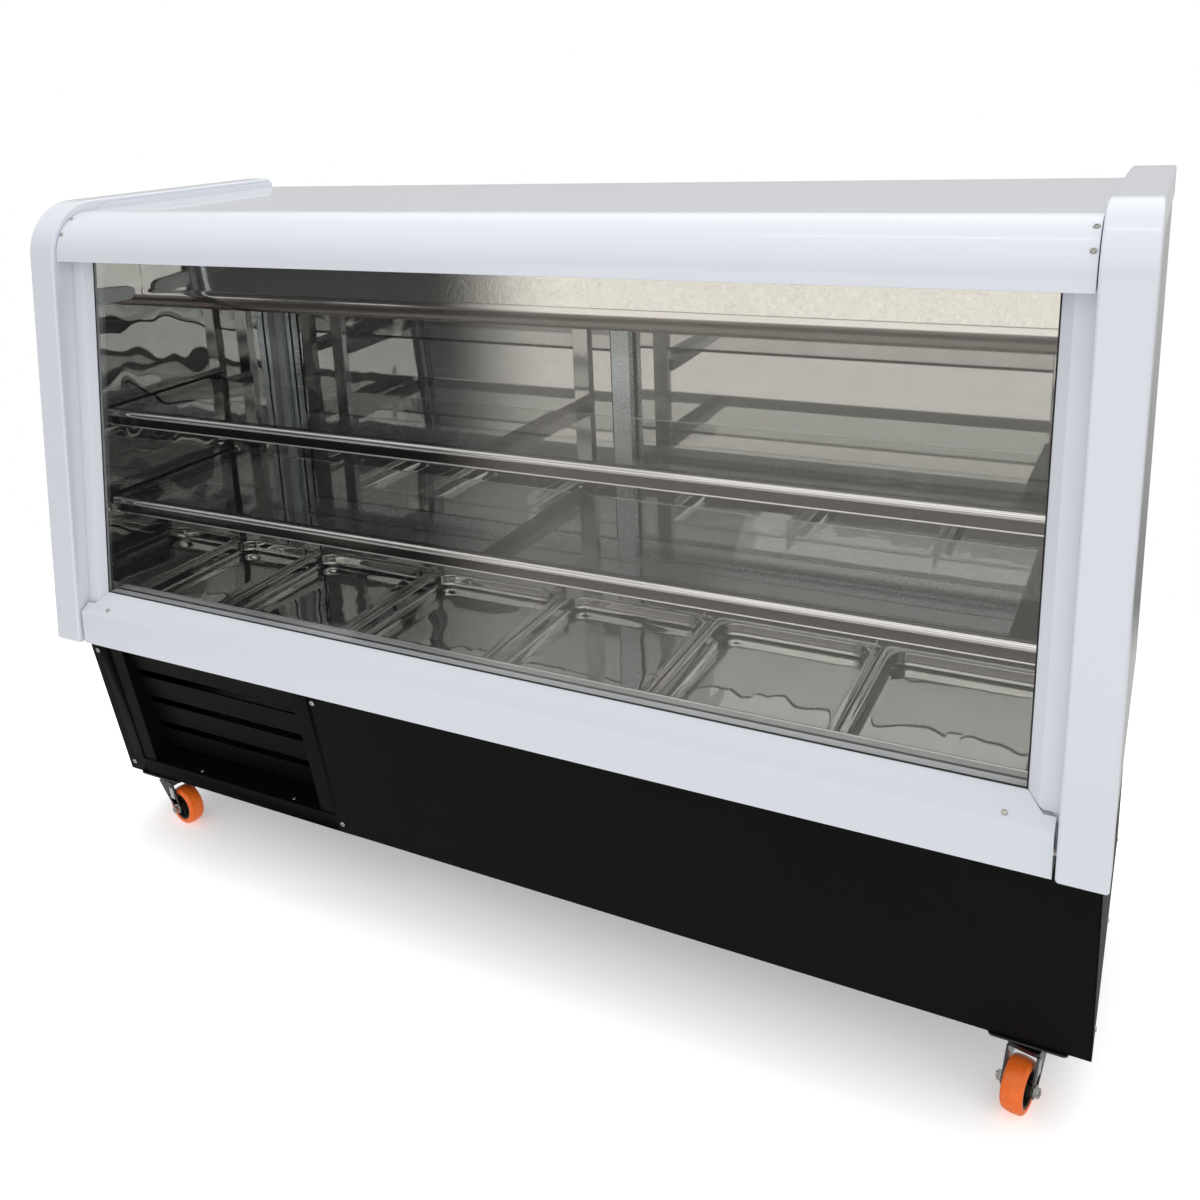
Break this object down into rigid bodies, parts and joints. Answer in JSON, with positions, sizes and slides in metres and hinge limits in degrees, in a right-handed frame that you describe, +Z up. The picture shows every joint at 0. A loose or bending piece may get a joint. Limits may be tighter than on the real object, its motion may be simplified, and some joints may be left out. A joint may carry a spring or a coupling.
{
  "type": "refrigerated counter",
  "caption": "Refrigerated display counter with leaning glass front, glass shelves, deck pans, rear sliding doors, louvred black base and swivel casters.",
  "frame": {"origin": "on the floor under the middle of the counter's box", "axes": "+X along the counter, +Y from the shopper's glass front to the server's sliding doors, +Z up"},
  "size_m": [1.8, 0.659, 1.24],
  "materials": {
    "white_enamel": "gloss",
    "black_enamel": "satin",
    "polished_steel": "mirror polished",
    "clear_glass": "clear",
    "chrome_rail": "bright",
    "dark_metal": "semi gloss",
    "anodised": "satin anodised",
    "housing_steel": "hammered",
    "fin_aluminium": "matt fins",
    "black_plastic": "fine grain",
    "motor_metal": "gloss",
    "lamp_glass": "opal",
    "zinc": "zinc plated",
    "orange_tread": "semi gloss polyurethane"
  },
  "bodies": {
    "cabinet": {"end_cap_left": "white_enamel", "end_cap_right": "white_enamel", "top_panel": "white_enamel", "front_rail": "white_enamel", "glass_stiles": "white_enamel", "rear_frame": "white_enamel", "lamp_holders": "white_enamel", "base_front_panel": "black_enamel", "louvre_frame": "black_enamel", "louvre_insert": "black_enamel", "base_side_panels": "black_enamel", "base_rear_panel": "black_enamel", "base_floor": "black_enamel", "caster_plates": "black_enamel", "end_wall_left": "polished_steel", "end_wall_right": "polished_steel", "insulated_floor": "polished_steel", "deck_liner": "polished_steel", "deck_dividers": "polished_steel", "front_glass": "clear_glass", "shelf_glass_lower": "clear_glass", "shelf_glass_upper": "clear_glass", "shelf_rails": "chrome_rail", "shelf_arms": "dark_metal", "shelf_uprights": "dark_metal", "door_tracks": "anodised", "evaporator_housing": "housing_steel", "evaporator_coil": "fin_aluminium", "condenser": "fin_aluminium", "cable_gland": "black_plastic", "control_plate": "black_plastic", "fan_motors": "motor_metal", "compressor": "motor_metal", "lamp_tube": "lamp_glass", "fasteners": "zinc"},
    "inner_door": {"door_frame_left": "anodised", "door_pane_left": "clear_glass"},
    "outer_door": {"door_frame_right": "anodised", "door_pane_right": "clear_glass"},
    "evaporator_fan": {"evaporator_fan": "black_plastic"},
    "condenser_fan": {"condenser_fan": "black_plastic"},
    "thermostat_knob": {"thermostat_knob": "black_plastic"},
    "pan_1": {"pan_1": "polished_steel"},
    "pan_2": {"pan_2": "polished_steel"},
    "pan_3": {"pan_3": "polished_steel"},
    "pan_4": {"pan_4": "polished_steel"},
    "pan_5": {"pan_5": "polished_steel"},
    "pan_6": {"pan_6": "polished_steel"},
    "caster_front_left": {"caster_fork_front_left": "black_enamel"},
    "wheel_front_left": {"caster_hub_front_left": "black_plastic", "caster_tyre_front_left": "orange_tread"},
    "caster_front_right": {"caster_fork_front_right": "black_enamel"},
    "wheel_front_right": {"caster_hub_front_right": "black_plastic", "caster_tyre_front_right": "orange_tread"},
    "caster_rear_left": {"caster_fork_rear_left": "black_enamel"},
    "wheel_rear_left": {"caster_hub_rear_left": "black_plastic", "caster_tyre_rear_left": "orange_tread"},
    "caster_rear_right": {"caster_fork_rear_right": "black_enamel"},
    "wheel_rear_right": {"caster_hub_rear_right": "black_plastic", "caster_tyre_rear_right": "orange_tread"}
  },
  "joints": [
    {"name": "inner_door_slide", "type": "slide", "parent": "cabinet", "child": "inner_door", "axis": [1, 0, 0], "range_m": [0, 0.78]},
    {"name": "outer_door_slide", "type": "slide", "parent": "cabinet", "child": "outer_door", "axis": [-1, 0, 0], "range_m": [0, 0.78]},
    {"name": "evaporator_fan_spin", "type": "hinge", "parent": "cabinet", "child": "evaporator_fan", "pos_m": [0, 0.07, 1.05], "axis": [0, 0, 1], "continuous": true},
    {"name": "condenser_fan_spin", "type": "hinge", "parent": "cabinet", "child": "condenser_fan", "pos_m": [-0.64, -0.055, 0.262], "axis": [0, 1, 0], "continuous": true},
    {"name": "thermostat_knob_turn", "type": "hinge", "parent": "cabinet", "child": "thermostat_knob", "pos_m": [0.56, 0.322, 0.33], "axis": [0, 1, 0], "range_deg": [0, 270]},
    {"name": "pan_1_lift", "type": "slide", "parent": "cabinet", "child": "pan_1", "axis": [0, 0, 1], "range_m": [0, 0.06]},
    {"name": "pan_2_lift", "type": "slide", "parent": "cabinet", "child": "pan_2", "axis": [0, 0, 1], "range_m": [0, 0.06]},
    {"name": "pan_3_lift", "type": "slide", "parent": "cabinet", "child": "pan_3", "axis": [0, 0, 1], "range_m": [0, 0.06]},
    {"name": "pan_4_lift", "type": "slide", "parent": "cabinet", "child": "pan_4", "axis": [0, 0, 1], "range_m": [0, 0.06]},
    {"name": "pan_5_lift", "type": "slide", "parent": "cabinet", "child": "pan_5", "axis": [0, 0, 1], "range_m": [0, 0.06]},
    {"name": "pan_6_lift", "type": "slide", "parent": "cabinet", "child": "pan_6", "axis": [0, 0, 1], "range_m": [0, 0.06]},
    {"name": "caster_front_left_swivel", "type": "hinge", "parent": "cabinet", "child": "caster_front_left", "pos_m": [-0.812, -0.185, 0.09], "axis": [0, 0, 1], "continuous": true},
    {"name": "wheel_front_left_roll", "type": "hinge", "parent": "caster_front_left", "child": "wheel_front_left", "pos_m": [-0.77655, -0.19125, 0.038], "axis": [0.1736, 0.9848, 0], "continuous": true},
    {"name": "caster_front_right_swivel", "type": "hinge", "parent": "cabinet", "child": "caster_front_right", "pos_m": [0.812, -0.185, 0.09], "axis": [0, 0, 1], "continuous": true},
    {"name": "wheel_front_right_roll", "type": "hinge", "parent": "caster_front_right", "child": "wheel_front_right", "pos_m": [0.80451, -0.22021, 0.038], "axis": [0.9781, -0.2079, 0], "continuous": true},
    {"name": "caster_rear_left_swivel", "type": "hinge", "parent": "cabinet", "child": "caster_rear_left", "pos_m": [-0.812, 0.185, 0.09], "axis": [0, 0, 1], "continuous": true},
    {"name": "wheel_rear_left_roll", "type": "hinge", "parent": "caster_rear_left", "child": "wheel_rear_left", "pos_m": [-0.79969, 0.21883, 0.038], "axis": [-0.9397, 0.342, 0], "continuous": true},
    {"name": "caster_rear_right_swivel", "type": "hinge", "parent": "cabinet", "child": "caster_rear_right", "pos_m": [0.812, 0.185, 0.09], "axis": [0, 0, 1], "continuous": true},
    {"name": "wheel_rear_right_roll", "type": "hinge", "parent": "caster_rear_right", "child": "wheel_rear_right", "pos_m": [0.80575, 0.22045, 0.038], "axis": [-0.9848, -0.1736, 0], "continuous": true}
  ]
}
